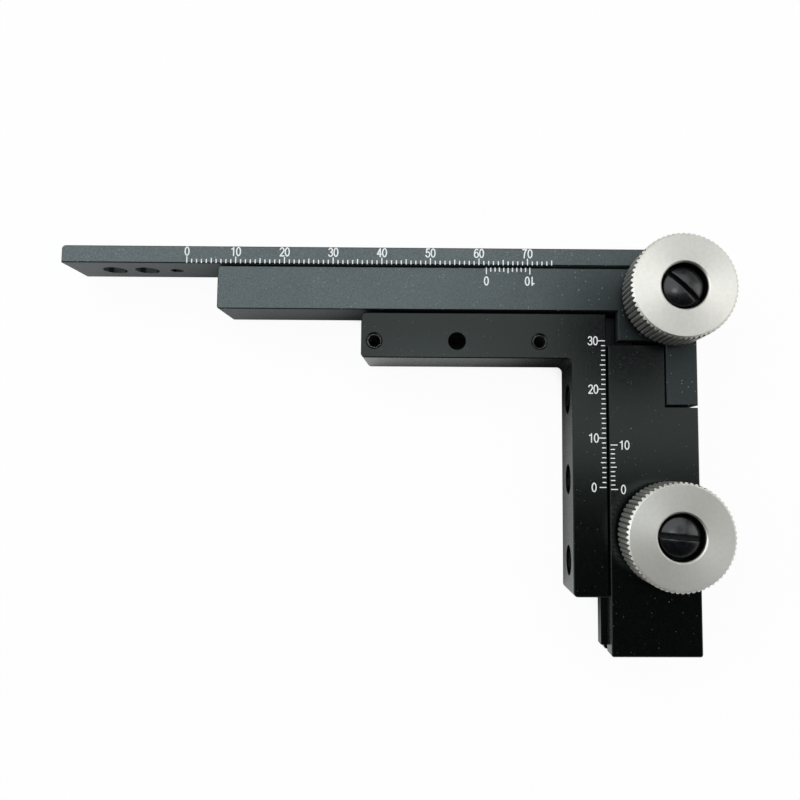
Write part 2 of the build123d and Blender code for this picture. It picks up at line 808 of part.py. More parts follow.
# ---- all pieces -------------------------------------------------------------------------
def all_nodes():
    gap_towards_y_rack = math.pi
    gap_towards_x_rack = math.pi / 2
    return {
        "stage_bracket": stage_bracket(),
        "y_rail": y_rail(),
        "y_rack": y_rack(),
        "y_rail_screws": y_rail_screws(),
        "y_rail_washers": y_rail_washers(),
        "y_rack_screws": y_rack_screws(),
        "y_slide_block": y_slide_block(),
        "y_front_bush": front_bush(y_axis_x, y_axis_y, y_pocket_front),
        "y_rear_bush": rear_bush(y_axis_x, y_axis_y, y_boss_top()),
        "y_rear_cover": rear_cover(y_cover_plate(), y_axis_x, y_axis_y, y_boss_top(), y_cover_screw_places()),
        "y_cover_screws": cover_screws(y_cover_screw_places()),
        "y_stop_screw": y_stop_screw(),
        "x_guide_body": x_guide_body(),
        "carriage_screws": carriage_screws(),
        "x_front_bush": front_bush(x_axis_x, x_axis_y, x_pocket_front),
        "x_rear_bush": rear_bush(x_axis_x, x_axis_y, x_boss_top()),
        "x_rear_cover": rear_cover(x_cover_plate(), x_axis_x, x_axis_y, x_boss_top(), x_cover_screw_places()),
        "x_cover_screws": cover_screws(x_cover_screw_places()),
        "x_stop_screw": x_stop_screw(),
        "y_knob": knurled_knob(y_axis_x, y_axis_y),
        "y_knob_screw": knob_screw(y_axis_x, y_axis_y, y_slot_angle),
        "y_pinion_shaft": pinion_shaft(y_axis_x, y_axis_y),
        "y_pinion": pinion(y_axis_x, y_axis_y, y_pinion_back, y_pinion_front, gap_towards_y_rack),
        "y_drag_washer": drag_washer(y_axis_x, y_axis_y),
        "x_knob": knurled_knob(x_axis_x, x_axis_y),
        "x_knob_screw": knob_screw(x_axis_x, x_axis_y, x_slot_angle),
        "x_pinion_shaft": pinion_shaft(x_axis_x, x_axis_y),
        "x_pinion": pinion(x_axis_x, x_axis_y, x_pinion_back, x_pinion_front, gap_towards_x_rack),
        "x_drag_washer": drag_washer(x_axis_x, x_axis_y),
        "x_slide_bar": x_slide_bar(),
        "x_rail": x_rail(),
        "x_rack": x_rack(),
        "x_rail_screws": bar_screws(rail_screw_columns(), x_rail_axis_z, bar_rail_screw_length),
        "x_rack_screws": bar_screws(rack_screw_columns(), x_rack_middle_z(), bar_rack_screw_length),
    }


os.makedirs("parts", exist_ok=True)
for name, shape in all_nodes().items():
    export_step(shape, f"parts/{name}.step")
print("bracket", bracket_left, bracket_right, bracket_bottom, bracket_top)
print("pinion axes", y_axis_x, y_axis_y, x_axis_x, x_axis_y)
print("knobs from", knob_back, "to", knob_front)
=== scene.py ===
# %% [markdown]
# # A mechanical microscope stage
# A black anodised bracket carries two slides at right angles. One moves up and down on
# a rail at the bracket's side, the other is the long bar with the engraved scale, and
# each is driven by a knurled aluminium knob. The solid pieces come ready made, at their
# real size and place, so this notebook does what they lack: the engraved scales, the
# turned and knurled knobs, the domed screws, the threads, the finishes and the light.

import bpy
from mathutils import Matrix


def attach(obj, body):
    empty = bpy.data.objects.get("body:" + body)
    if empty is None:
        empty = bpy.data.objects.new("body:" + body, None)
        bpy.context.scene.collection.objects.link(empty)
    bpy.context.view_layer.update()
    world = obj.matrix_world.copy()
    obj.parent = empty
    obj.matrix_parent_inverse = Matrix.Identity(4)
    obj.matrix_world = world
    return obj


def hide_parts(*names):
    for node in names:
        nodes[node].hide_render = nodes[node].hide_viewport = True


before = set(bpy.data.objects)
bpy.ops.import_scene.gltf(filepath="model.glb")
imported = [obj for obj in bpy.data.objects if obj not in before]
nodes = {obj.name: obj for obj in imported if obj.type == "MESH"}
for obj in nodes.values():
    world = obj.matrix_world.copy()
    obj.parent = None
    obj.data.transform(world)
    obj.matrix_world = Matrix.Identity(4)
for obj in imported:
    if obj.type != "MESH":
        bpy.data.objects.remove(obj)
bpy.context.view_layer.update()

import math

import bmesh
import bpy
import numpy as np
from mathutils import Matrix, Vector

MM = 0.001
BAR_FACE, FRONT = 14.7, 14.0
BAR_ZERO, BAR_FOOT = -55.55, 15.7

# %% [markdown]
# ## The camera
# The photograph was taken from close by, so the sides of the thick pieces lean into
# view. A camera can be matched by eye or worked out from measured edges. Here it was
# worked out, because the scale's marks are a ruler one millimetre apart: its focal
# length, place and turn are the ones that put every mark and edge where it is seen.

# %% Camera
FOCAL_PIXELS, IMAGE_PIXELS, SENSOR = 760.0, 800.0, 36.0
CENTRE_COLUMN, CENTRE_ROW = 452.31, 407.38
CAMERA_PLACE = (-2.512, -26.099, 168.348)
CAMERA_TURN = (-0.080377, 0.010432, -0.005595)

camera_data = bpy.data.cameras.new("camera")
camera_data.sensor_width = SENSOR
camera_data.lens = FOCAL_PIXELS * SENSOR / IMAGE_PIXELS
camera_data.shift_x = (IMAGE_PIXELS / 2 - CENTRE_COLUMN) / IMAGE_PIXELS
camera_data.shift_y = (CENTRE_ROW - IMAGE_PIXELS / 2) / IMAGE_PIXELS
camera_data.clip_start = 0.01
camera_data.clip_end = 20.0
camera = bpy.data.objects.new("camera", camera_data)
bpy.context.scene.collection.objects.link(camera)
turn = Matrix.Identity(3)
for angle, axis in zip(CAMERA_TURN, "XYZ"):
    turn = turn @ Matrix.Rotation(-angle, 3, axis)
camera.matrix_world = Matrix.Translation(Vector(CAMERA_PLACE) * MM) @ turn.to_4x4()
bpy.context.scene.camera = camera
bpy.context.scene.view_settings.view_transform = "Standard"


def pixel(point):
    """Where a point in mm lands in the 800-pixel image, as column and row: the centre
    plus the focal length times the offset aside, divided by the distance ahead."""
    seen = turn.transposed() @ (Vector(point) - Vector(CAMERA_PLACE))
    return (
        CENTRE_COLUMN + FOCAL_PIXELS * seen.x / -seen.z,
        CENTRE_ROW - FOCAL_PIXELS * seen.y / -seen.z,
    )


zero_mark = pixel((BAR_ZERO, BAR_FOOT, BAR_FACE))
print("bar's zero mark at pixel", [round(part, 1) for part in zero_mark])

# %% [markdown]
# ## Light
# Black anodised aluminium is so dark that nearly all we see of it is reflection. The
# flat faces all point at the camera, so their grey shading is a soft picture of what
# hangs above them: a wide soft box towards the top of the stage, and nothing towards
# its foot. One large rectangular lamp does that. Two smaller boxes, far out to the
# right and the left, make the bright fans on the knobs, and a small window makes the
# glints in the screw heads. Around the horizon and on the floor there is white, as in
# a light tent, which the steep sides of the pieces mirror.

# %% Lamps
LAMPS_AIM = (0, 0, FRONT)


def lamp(name, centre, size, radiance, colour=(1.0, 1.0, 1.0)):
    """A rectangular lamp in mm, turned to face the aim with its width level, along the
    stage's X. Its power is pi times its area times its radiance."""
    data = bpy.data.lights.new(name, "AREA")
    data.shape = "RECTANGLE"
    data.size, data.size_y = size[0] * MM, size[1] * MM
    data.energy = math.pi * data.size * data.size_y * radiance
    data.color = colour
    made = bpy.data.objects.new(name, data)
    bpy.context.scene.collection.objects.link(made)
    made.location = Vector(centre) * MM
    away = (Vector(centre) - Vector(LAMPS_AIM)).normalized()
    across = Vector((0, 1, 0)).cross(away).normalized()
    axes = Matrix((across, away.cross(across), away)).transposed()
    made.rotation_euler = axes.to_euler()
    print(name, "watts", round(data.energy, 2))


lamp("soft_box", (-170, 305, 740), (1500, 715), 1.72, (0.96, 0.99, 1.0))
lamp("right_box", (720, 80, 660), (440, 440), 1.7)
lamp("left_box", (-760, 0, 480), (360, 360), 2.7, (0.74, 0.9, 1.0))
lamp("window", (-20, 22, 690), (110, 70), 7.0, (0.86, 0.95, 1.0))

# %% [markdown]
# ## Nodes for materials
# Every finish below is a small graph of nodes. One helper adds any kind of node, sets
# it up and joins it, and a few short ones on top of it name the steps that come back,
# so each material reads as a list of steps. Colours are written as they look on a
# screen, in hexadecimal sRGB, and one function turns them into the linear values that
# light is added up in.

# %% Colour and node helpers
def linear(code):
    """A hex sRGB colour as linear red, green, blue and an alpha of 1. A part up to
    0.04045 is divided by 12.92. Above it, 0.055 is added, the sum divided by 1.055 and
    raised to the power 2.4."""
    parts = np.array([int(code[i : i + 2], 16) for i in (1, 3, 5)]) / 255
    values = np.where(parts <= 0.04045, parts / 12.92, ((parts + 0.055) / 1.055) ** 2.4)
    return (*values.tolist(), 1.0)


def add(tree, kind, inputs=None, **settings):
    """Adds a node. settings are its own choices, inputs its sockets' values or links."""
    node = tree.nodes.new(kind)
    for name, value in settings.items():
        setattr(node, name, value)
    for name, value in (inputs or {}).items():
        if isinstance(value, bpy.types.NodeSocket):
            tree.links.new(value, node.inputs[name])
        else:
            node.inputs[name].default_value = value
    return node


def new_material(name):
    """An empty material with its tree and its output node."""
    made = bpy.data.materials.new(name)
    made.use_nodes = True
    made.node_tree.nodes.clear()
    return made, made.node_tree, add(made.node_tree, "ShaderNodeOutputMaterial")


def per_mm(size):
    """The scale of a pattern whose features are that many millimetres, in metres."""
    return 1.0 / (size * MM)


def calculate(tree, operation, *values):
    """A sum, product or other result of one to three numbers or sockets."""
    values = dict(enumerate(values))
    return add(tree, "ShaderNodeMath", values, operation=operation).outputs[0]


def remap(tree, value, low, high, first=0.0, last=1.0, way="LINEAR"):
    """A value brought from the range low to high to the range first to last. Outside
    it stays at the nearer end."""
    ends = {"From Min": low, "From Max": high, "To Min": first, "To Max": last}
    ends["Value"] = value
    return add(tree, "ShaderNodeMapRange", ends, interpolation_type=way).outputs[0]


def between(tree, share, first, second):
    """A number between two, by a share from 0 to 1."""
    ends = {0: share, 2: first, 3: second}
    return add(tree, "ShaderNodeMix", ends, data_type="FLOAT").outputs[0]


def blend(tree, share, first, second):
    """A colour between two, each a hex code or a socket, by a share from 0 to 1."""
    colours = [linear(end) if isinstance(end, str) else end for end in (first, second)]
    ends = {0: share, 6: colours[0], 7: colours[1]}
    return add(tree, "ShaderNodeMix", ends, data_type="RGBA").outputs[2]


def noise(tree, place, size, detail, **more):
    """Noise from 0 to 1 whose largest features are that many mm."""
    values = {"Vector": place, "Scale": per_mm(size), "Detail": detail, **more}
    return add(tree, "ShaderNodeTexNoise", values).outputs["Fac"]


def bumps(tree, height, strength, depth):
    """The normal of a surface with bumps of that many mm, from a height of 0 to 1."""
    values = {"Height": height, "Strength": strength, "Distance": depth * MM}
    return add(tree, "ShaderNodeBump", values).outputs[0]


def levelness(tree, coordinates):
    """How level a surface lies: 1 on a face, 0 on an upright wall. It is the size of
    the normal's Z in the piece's own frame."""
    facing = add(tree, "ShaderNodeSeparateXYZ", {0: coordinates.outputs["Normal"]})
    return calculate(tree, "ABSOLUTE", facing.outputs["Z"])


def cover(tree, out, **values):
    """Ends a material with one surface. An underscore in a name stands for a space."""
    values = {name.replace("_", " "): value for name, value in values.items()}
    surface = add(tree, "ShaderNodeBsdfPrincipled", values)
    tree.links.new(surface.outputs[0], out.inputs["Surface"])


def mirror_ray(tree, ray):
    """1 for a ray that comes by way of a mirror-like or a clear surface, and else 0."""
    glossy, clear = ray.outputs["Is Glossy Ray"], ray.outputs["Is Transmission Ray"]
    return calculate(tree, "MAXIMUM", glossy, clear)


# %% [markdown]
# ## Floor and surroundings
# The stage lies on its back on a white surface that the photograph shows as pure
# white. A white floor lit by the lamps would turn grey in the shade, so the part of it
# that the camera and mirror-like surfaces see is mostly a plain white of strength 1,
# and the rest is a real matt floor that keeps a faint shadow. Ambient occlusion tells
# how much sky a spot of the floor sees. It turns the plain white off where that is
# hardly any, as at the bottom of a hole, and it darkens the mirrored floor close to
# the stage, so that the sides grow darker towards inner corners. The surroundings are
# white low down and to both sides, and dark overhead and towards the stage's foot,
# where the camera and the person behind it stood.

# %% Floor and world
FLOOR_REACH, FLOOR_DROP = 3.0, 0.05 * MM
SKY_REACH = 45 * MM
WHITE_TO_CAMERA, WHITE_TO_MIRRORS, BLACKEST = 0.95, 0.85, 0.9
DARK_OVERHEAD, UNSEEN_SKY = 0.02, 0.3

floor_mesh = bpy.data.meshes.new("floor")
floor_corners = [
    (x * FLOOR_REACH, y * FLOOR_REACH, -FLOOR_DROP)
    for x, y in ((-1, -1), (1, -1), (1, 1), (-1, 1))
]
floor_mesh.from_pydata(floor_corners, [], [(0, 1, 2, 3)])
floor = bpy.data.objects.new("floor", floor_mesh)
bpy.context.scene.collection.objects.link(floor)

floor_paper, tree, out = new_material("White paper floor")
ray = add(tree, "ShaderNodeLightPath")
mirrored = mirror_ray(tree, ray)
sky_seen = add(tree, "ShaderNodeAmbientOcclusion", {"Distance": SKY_REACH}, samples=16)
open_sky = sky_seen.outputs["AO"]
# In mirror-like surfaces, the plain white fades out towards the stage, and close to it
# the matt paper behind the white is darkened to black, a painted shade.
clear_of_stage = remap(tree, open_sky, 0.42, 0.90, 0.0, WHITE_TO_MIRRORS)
mirrored_share = calculate(tree, "MULTIPLY", mirrored, clear_of_stage)
seen_share = calculate(tree, "MULTIPLY", ray.outputs["Is Camera Ray"], WHITE_TO_CAMERA)
white_share = calculate(tree, "MAXIMUM", seen_share, mirrored_share)
near_stage = remap(tree, open_sky, 0.40, 0.69, BLACKEST, 0.0)
mirrored_floor_shade = calculate(tree, "MULTIPLY", near_stage, mirrored)
paper = blend(tree, mirrored_floor_shade, "#f2f2f0", "#0a0a0a")
matt = add(tree, "ShaderNodeBsdfDiffuse", {"Color": paper})
# Painted shade too: the plain white goes off where the floor sees little sky, as in a hole.
lit = remap(tree, open_sky, 0.12, 0.28, way="SMOOTHSTEP")
plain = add(tree, "ShaderNodeEmission", {"Color": (1, 1, 1, 1), "Strength": lit})
mixed = {0: white_share, 1: matt.outputs[0], 2: plain.outputs[0]}
both = add(tree, "ShaderNodeMixShader", mixed)
tree.links.new(both.outputs[0], out.inputs["Surface"])
floor_mesh.materials.append(floor_paper)

world = bpy.data.worlds.new("light_tent")
bpy.context.scene.world = world
world.use_nodes = True
tree = world.node_tree
tree.nodes.clear()
out = add(tree, "ShaderNodeOutputWorld")
ray = add(tree, "ShaderNodeLightPath")
direction = add(tree, "ShaderNodeTexCoord")
parts = add(tree, "ShaderNodeSeparateXYZ", {0: direction.outputs["Generated"]})
# The white ends at a height that is greater to both sides, less towards the foot.
sideways = calculate(tree, "ABSOLUTE", parts.outputs["X"])
lowered = calculate(tree, "MULTIPLY_ADD", sideways, -0.5, parts.outputs["Z"])
towards_foot = calculate(tree, "MINIMUM", parts.outputs["Y"], 0.0)
height = calculate(tree, "MULTIPLY_ADD", towards_foot, -0.6, lowered)
horizon = remap(tree, height, 0.1, 0.5, 1.0, 0.0, "SMOOTHSTEP")
panels = remap(tree, horizon, 0.0, 1.0, DARK_OVERHEAD, 1.0)
unseen = between(tree, mirror_ray(tree, ray), UNSEEN_SKY, panels)
strength = between(tree, ray.outputs["Is Camera Ray"], unseen, 1.0)
sky = add(tree, "ShaderNodeBackground", {"Color": (1, 1, 1, 1), "Strength": strength})
tree.links.new(sky.outputs[0], out.inputs["Surface"])
print("floor and world ready")

# %% [markdown]
# ## A black card
# Around the foot of the upper knob the black is deeper than elsewhere on the same
# pieces. The photograph doesn't show why, but on glossy faces it is most likely a dark
# thing that they mirror. Painting it on the faces would be wrong, because it would
# travel with a slide. So a small round card hangs below the soft box, where the camera
# sees it mirrored. Photographers call it a flag.

# %% Card
CARD_PLACE, CARD_RADIUS, CARD_CORNERS = (180, 112, 600), 66, 32
angle = np.linspace(0, 2 * np.pi, CARD_CORNERS + 1)[:-1]
rim = np.stack([np.cos(angle), np.sin(angle), 0 * angle], axis=1) * CARD_RADIUS
card_mesh = bpy.data.meshes.new("card")
card_mesh.from_pydata(((rim + CARD_PLACE) * MM).tolist(), [], [list(range(CARD_CORNERS))])
card = bpy.data.objects.new("card", card_mesh)
bpy.context.scene.collection.objects.link(card)
card.visible_camera = False
black_felt, tree, out = new_material("Black felt card")
felt = add(tree, "ShaderNodeBsdfDiffuse", {"Color": linear("#060606")})
tree.links.new(felt.outputs[0], out.inputs["Surface"])
card_mesh.materials.append(black_felt)
print("card radius", CARD_RADIUS, "mm")

# %% [markdown]
# ## Black anodised aluminium
# The bar, the guide, the bracket and the slide block are milled aluminium, blasted
# with fine beads, anodised and dyed black. The dyed layer is clear and glassy over a
# black ground, so it is modelled as a dark plastic-like surface, not as bare metal:
# a satin reflection over a nearly black colour, made hazy by the blasting where that
# is coarse, as on the bar and the guide. Blasting leaves a fine grain. Its real grains
# are about 0.1 mm across, under a pixel here, so it is drawn at 0.3 mm. Pale dust lies
# on the faces. A few grains are coloured bright as painted glints, the bevels get a
# painted shade, and the haze around the upper knob is darkened by painted shade.

# %% Anodised finishes
SPOT_HEIGHT, SPOT_WANDER = 12.0, 3.0
CLOUD_SIZE, GRAIN_SHARE = 9.0, 0.86
BEVEL_LEAN, SIDE_ROUGHER = 0.707, 0.10
DUST_CELL, GLITTER_CELL = 2.4, 0.7
# The first two colours are painted shade, near black, and the third is pale dust.
KNOB_SHADE, BEVEL_SHADE, DUST = "#020303", "#050606", "#9a9e9c"


def oily_spot(tree, place, wander, x, y, inner, outer, strength):
    """How much painted shade darkens the haze, 0 to 1: a soft round spot with a ragged
    edge, given by its centre x and y, its inner and outer radius in mm and its strength.
    What counts is the distance from its centre plus the wander, a noise, times 3 mm."""
    centre = (x * MM, y * MM, SPOT_HEIGHT * MM)
    apart = add(tree, "ShaderNodeVectorMath", {0: place, 1: centre}, operation="DISTANCE")
    reach = calculate(tree, "MULTIPLY_ADD", wander, SPOT_WANDER * MM, apart.outputs["Value"])
    low, high = (inner + SPOT_WANDER / 2) * MM, (outer + SPOT_WANDER / 2) * MM
    return remap(tree, reach, low, high, strength, 0.0, "SMOOTHSTEP")


def specks(tree, place, cell, inner, outer, share):
    """Sparse specks, 0 to 1: the middles of Voronoi cells of that many mm, kept in only
    a share of the cells by each cell's own random colour."""
    cells = add(tree, "ShaderNodeTexVoronoi", {"Vector": place, "Scale": per_mm(cell)})
    near = remap(tree, cells.outputs["Distance"], inner, outer, 1.0, 0.0)
    lot = add(tree, "ShaderNodeSeparateXYZ", {0: cells.outputs["Color"]})
    chosen = calculate(tree, "GREATER_THAN", lot.outputs["X"], 1.0 - share)
    return calculate(tree, "MULTIPLY", near, chosen)


def anodised(
    name,
    colour,
    haze,
    side_haze,
    bright,
    gleam,
    level,
    smooth,
    rough,
    grain_size,
    grain_depth,
    dust,
    glitter,
    shade_spots=(),
):
    """Dyed anodising over a blasted surface. Colour and haze are mixed by a fine grain
    and faint clouds. The sides were milled and blasted less, so they have their own
    haze and are rougher. The bevels are darkened as painted shade, painted shade takes
    the haze off around given places, a few grains are bright as painted glints, and
    specks of dust are bright."""
    made, tree, out = new_material(name)
    coordinates = add(tree, "ShaderNodeTexCoord")
    place = coordinates.outputs["Object"]
    clouds = noise(tree, place, CLOUD_SIZE, 3.0)
    grain = noise(tree, place, grain_size, 2.0, Roughness=0.6)
    tint = remap(tree, between(tree, GRAIN_SHARE, clouds, grain), 0.24, 0.76)
    level_share = levelness(tree, coordinates)
    faced = remap(tree, level_share, 0.5, 0.95)
    # Painted shade: bevels near 45 degrees are blended towards near black.
    lean = calculate(tree, "SUBTRACT", level_share, BEVEL_LEAN)
    bevel_shade = remap(tree, calculate(tree, "ABSOLUTE", lean), 0.12, 0.22, 1.0, 0.0)
    face = blend(tree, tint, colour, haze)
    # Painted shade: around each given place the face colour is blended towards near black.
    for spot in shade_spots:
        face = blend(tree, oily_spot(tree, place, clouds, *spot), face, KNOB_SHADE)
    shade = blend(tree, faced, side_haze, face)
    shade = blend(tree, bevel_shade, shade, BEVEL_SHADE)
    dusty = specks(tree, place, DUST_CELL, 0.02, 0.05, dust)
    # Painted glints: a share of the grains is coloured bright.
    painted_glints = specks(tree, place, GLITTER_CELL, 0.08, 0.16, glitter)
    shade = blend(tree, dusty, shade, DUST)
    shade = blend(tree, painted_glints, shade, bright)
    gloss = remap(tree, grain, 0.3, 0.7, smooth, rough)
    rougher_side = remap(tree, faced, 0.0, 1.0, SIDE_ROUGHER, 0.0)
    cover(
        tree,
        out,
        Base_Color=shade,
        Roughness=calculate(tree, "ADD", gloss, rougher_side),
        IOR=1.55,
        Specular_IOR_Level=level,
        Specular_Tint=linear(gleam),
        Normal=bumps(tree, grain, 0.7, grain_depth),
    )
    print(name, "grain", grain_size, "mm")
    return made


BLASTED = dict(
    bright="#9ba2a3",
    gleam="#e2f4f4",
    level=0.42,
    smooth=0.40,
    rough=0.50,
    grain_size=0.34,
    grain_depth=0.050,
    dust=0.12,
    glitter=0.30,
)
blasted_black = anodised(
    "Black anodised aluminium, bead blasted",
    colour="#3f4547",
    haze="#6a7172",
    side_haze="#474c4d",
    # Painted shade: a faint dark patch on the bar towards the upper knob.
    shade_spots=((46.0, 17.0, 0.0, 46.0, 0.5),),
    **BLASTED,
)
knob_shaded_black = anodised(
    "Black anodised aluminium, bead blasted, shaded by the knob",
    colour="#3b4143",
    haze="#656c6d",
    side_haze="#2c2f30",
    # Painted shade around the foot of the upper knob and below it.
    shade_spots=(
        (35.5, 3.5, 1.0, 22.0, 0.99),
        (35.5, 3.5, 8.0, 48.0, 0.40),
        (47.0, -8.0, 4.0, 16.0, 0.82),
    ),
    **BLASTED,
)
milled_black = anodised(
    "Black anodised aluminium, finely blasted",
    colour="#010202",
    haze="#0c0d0d",
    side_haze="#121313",
    bright="#565b5c",
    gleam="#e4f2ec",
    level=0.32,
    smooth=0.14,
    rough=0.20,
    grain_size=0.30,
    grain_depth=0.006,
    dust=0.36,
    glitter=0.20,
)

# %% [markdown]
# ## Steel, brass and nylon
# The rails are blackened steel, ground flat. The racks, pinions and bushes are brass,
# the shafts and the small screws bright steel, and a nylon washer under each knob gives
# it drag. Little of these shows, but each gets its own finish: ground steel is streaked
# along its length, cut brass is ringed by the tool, and nylon is milky.

# %% Metals and nylon
def worked_metal(name, colour, shade, roughness, stretch, streak_size, depth):
    """Machined metal: streaks of noise drawn out along one axis, in colour, gloss and
    bump. stretch holds the noise's scale along X, Y and Z, small along the streaks."""
    made, tree, out = new_material(name)
    place = add(tree, "ShaderNodeTexCoord").outputs["Object"]
    drawn = add(tree, "ShaderNodeMapping", {"Vector": place, "Scale": stretch})
    streaks = noise(tree, drawn.outputs[0], streak_size, 3.0)
    cover(
        tree,
        out,
        Base_Color=blend(tree, streaks, colour, shade),
        Metallic=1.0,
        Roughness=remap(tree, streaks, 0.0, 1.0, roughness - 0.06, roughness + 0.06),
        Normal=bumps(tree, streaks, 0.5, depth),
    )
    print(name)
    return made


BLACKENED = dict(
    colour="#191b1c", shade="#232526", roughness=0.36, streak_size=0.12, depth=0.004
)
rail_steel = worked_metal("Blackened steel, ground", stretch=(1, 0.04, 1), **BLACKENED)
bar_rail_steel = worked_metal(
    "Blackened steel, ground lengthwise", stretch=(0.04, 1, 1), **BLACKENED
)
cut_brass = worked_metal(
    "Brass, cut", "#c9a45a", "#ab8746", 0.30, (1, 1, 0.08), 0.10, 0.004
)
bright_steel = worked_metal(
    "Steel, bright turned", "#b6b8b8", "#9a9c9c", 0.28, (1, 1, 4), 0.12, 0.003
)

nylon, tree, out = new_material("Nylon, turned")
print(nylon.name)
place = add(tree, "ShaderNodeTexCoord").outputs["Object"]
cloud = noise(tree, place, 1.2, 2.0)
cover(
    tree,
    out,
    Base_Color=blend(tree, cloud, "#dedbd0", "#cfcbbd"),
    Roughness=0.45,
    IOR=1.53,
    Subsurface_Weight=0.15,
    Subsurface_Radius=(MM, MM, MM),
    Subsurface_Scale=0.3,
    Normal=bumps(tree, cloud, 0.3, 0.02),
)

# %% [markdown]
# ## Finishes on the finished solids
# The milled pieces already have the right shape, with their holes and broken edges, so
# they keep it and only take a finish.

# %% Dress the solids
FINISHES = {
    "stage_bracket": milled_black,
    "y_slide_block": milled_black,
    "x_guide_body": knob_shaded_black,
    "x_slide_bar": blasted_black,
    "y_rail": rail_steel,
    "x_rail": bar_rail_steel,
    "y_rear_cover": milled_black,
    "x_rear_cover": milled_black,
    "y_rack": cut_brass,
    "x_rack": cut_brass,
    "y_pinion": cut_brass,
    "x_pinion": cut_brass,
    "y_front_bush": cut_brass,
    "x_front_bush": cut_brass,
    "y_rear_bush": cut_brass,
    "x_rear_bush": cut_brass,
    "y_drag_washer": nylon,
    "x_drag_washer": nylon,
}
for name, node in nodes.items():
    finish = FINISHES.get(name, bright_steel)
    for index in range(len(node.material_slots)):
        node.material_slots[index].material = finish
    if not node.material_slots:
        node.data.materials.append(finish)
print("dressed", len(nodes), "solids")

# %% [markdown]
# ## Building surfaces from numbers
# The new pieces are surfaces worked out on a grid of two parameters, such as an angle
# and a height. A helper turns such a grid into a mesh: it lists the four corners of
# each cell, welds the seam and the poles, turns every face outwards and keeps sharp
# only the edges that bend by more than 35 degrees.

# %% Mesh helpers
WELD = 2e-7
SHARP_ANGLE = 35.0


def cells_of(rows, columns):
    """The corner numbers of each cell in a grid of points, row by row."""
    first = np.arange(rows - 1)[:, None] * columns + np.arange(columns - 1)[None, :]
    corners = np.stack([first, first + 1, first + columns + 1, first + columns], axis=-1)
    return corners.reshape(-1, 4)


def piece(name, grids, material, body, uv=False):
    """One mesh from grids of points in mm, each an array of rows, columns and x, y, z.
    With uv, the map holds each grid's place around and its length along the profile."""
    points, faces, maps, offset = [], [], [], 0
    for grid in grids:
        rows, columns = grid.shape[:2]
        cells = cells_of(rows, columns)
        points.append(grid.reshape(-1, 3))
        faces.append(cells + offset)
        if uv:
            steps = np.linalg.norm(np.diff(grid[:, 0], axis=0), axis=1)
            along = np.concatenate([[0.0], np.cumsum(steps)])
            around = np.linspace(0.0, 1.0, columns)
            flat = np.stack(np.meshgrid(around, along), axis=-1).reshape(-1, 2)
            maps.append(flat[cells].reshape(-1, 2))
        offset += rows * columns
    points, faces = np.concatenate(points) * MM, np.concatenate(faces)
    mesh = bpy.data.meshes.new(name)
    mesh.vertices.add(len(points))
    mesh.vertices.foreach_set("co", points.astype(np.float32).ravel())
    mesh.loops.add(faces.size)
    mesh.loops.foreach_set("vertex_index", faces.astype(np.int32).ravel())
    mesh.polygons.add(len(faces))
    mesh.polygons.foreach_set("loop_start", np.arange(0, faces.size, 4, dtype=np.int32))
    if uv:
        layer = mesh.uv_layers.new(name="turned")
        layer.data.foreach_set("uv", np.concatenate(maps).astype(np.float32).ravel())
    mesh.update(calc_edges=True)
    shell = bmesh.new()
    shell.from_mesh(mesh)
    bmesh.ops.remove_doubles(shell, verts=shell.verts, dist=WELD)
    bmesh.ops.recalc_face_normals(shell, faces=shell.faces)
    shell.to_mesh(mesh)
    shell.free()
    mesh.polygons.foreach_set("use_smooth", np.ones(len(mesh.polygons), dtype=bool))
    mesh.set_sharp_from_angle(angle=math.radians(SHARP_ANGLE))
    mesh.materials.append(material)
    made = bpy.data.objects.new(name, mesh)
    bpy.context.scene.collection.objects.link(made)
    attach(made, body)
    print(name, "faces", len(mesh.polygons))
    return made


# %% [markdown]
# ## White enamel
# The scales are cut with a pantograph and filled with white enamel, wiped flush. The
# fill is slightly uneven, so the white gets a faint mottle.

# %% White enamel
enamel, tree, out = new_material("White enamel, wiped into engraving")
print(enamel.name)
place = add(tree, "ShaderNodeTexCoord").outputs["Object"]
mottle = noise(tree, place, 0.5, 3.0)
cover(
    tree,
    out,
    Base_Color=blend(tree, mottle, "#fdfefd", "#dfe2e0"),
    Roughness=0.5,
    IOR=1.5,
    Normal=bumps(tree, mottle, 0.3, 0.01),
)

# %% [markdown]
# ## Scale marks
# Each mark is a groove full of enamel, so what shows is a low rounded bead with round
# ends, half sunk in the face. Every bead of a scale is worked out at once: its rings
# are spread along the mark, and shrink to a point at the two ends like a half circle.

# %% Beads
STROKE, FINE_STROKE, BAR_STROKE = 0.26, 0.20, 0.23
PROUD = 0.012


def beads(starts, ends, width, face):
    """Rounded marks between pairs of points in mm, on a face at that height.
    A ring of a bead is its centre plus half the width times cos t across the mark and
    the small height times sin t upwards. Past an end, the centre goes on by the radius
    times sin a and the ring shrinks by cos a, until it is a point at 90 degrees."""
    starts, ends = np.asarray(starts, float), np.asarray(ends, float)
    along = ends - starts
    along /= np.linalg.norm(along, axis=1, keepdims=True)
    across = np.stack([-along[:, 1], along[:, 0]], axis=1)
    cap = np.radians([-90.0, -50.0, 0.0, 0.0, 50.0, 90.0])
    at_start = (np.arange(6) < 3)[None, :, None]
    centres = np.where(at_start, starts[:, None, :], ends[:, None, :])
    centres = centres + along[:, None, :] * (np.sin(cap) * width / 2)[None, :, None]
    turn = np.linspace(0, 2 * np.pi, 7)
    shrink = np.cos(cap)[None, :, None, None]
    flat = centres[:, :, None, :] + across[:, None, None, :] * (
        np.cos(turn)[None, None, :, None] * shrink * width / 2
    )
    lift = face + np.broadcast_to(
        np.sin(turn)[None, None, :, None] * shrink * PROUD, flat.shape[:3] + (1,)
    )
    return list(np.concatenate([flat, lift], axis=3))


